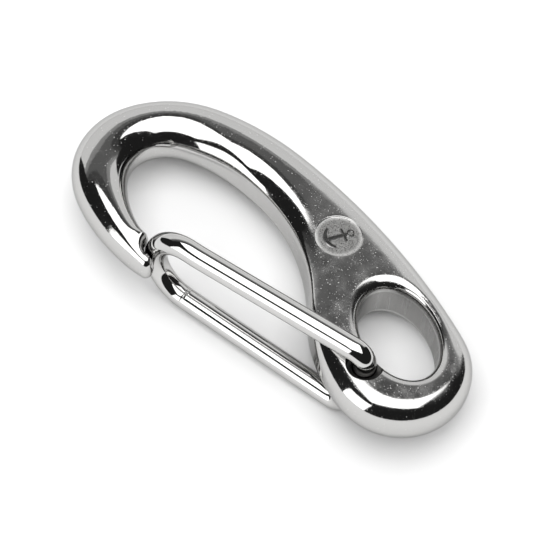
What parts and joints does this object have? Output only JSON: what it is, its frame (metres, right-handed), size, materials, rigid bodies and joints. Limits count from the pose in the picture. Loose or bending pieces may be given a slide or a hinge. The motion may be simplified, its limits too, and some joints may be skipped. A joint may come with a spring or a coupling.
{
  "type": "wire-gate snap hook",
  "caption": "Flat polished snap hook with an oval eye; a sprung wire gate rests in a notch in the nose and swings inward to open the hook.",
  "frame": {"origin": "middle of the oval eye, halfway through the body's thickness", "axes": "+X along the load line from the bow to the eye end, +Y to the spine side with the gate on -Y, +Z through the thickness"},
  "size_m": [0.0799, 0.0357, 0.017],
  "materials": {
    "polished_stainless": "mirror polished cast stainless steel",
    "stainless_wire": "polished stainless spring wire"
  },
  "bodies": {
    "hook": {"hook_body": "polished_stainless"},
    "gate": {"wire_gate": "stainless_wire"}
  },
  "joints": [
    {"name": "gate_hinge", "type": "hinge", "parent": "hook", "child": "gate", "pos_m": [-0.00045, -0.0089, 0], "axis": [0, 0, -1], "range_deg": [0, 25], "stiffness_Nm_per_rad": 1.5, "springref_deg": -7.45}
  ]
}
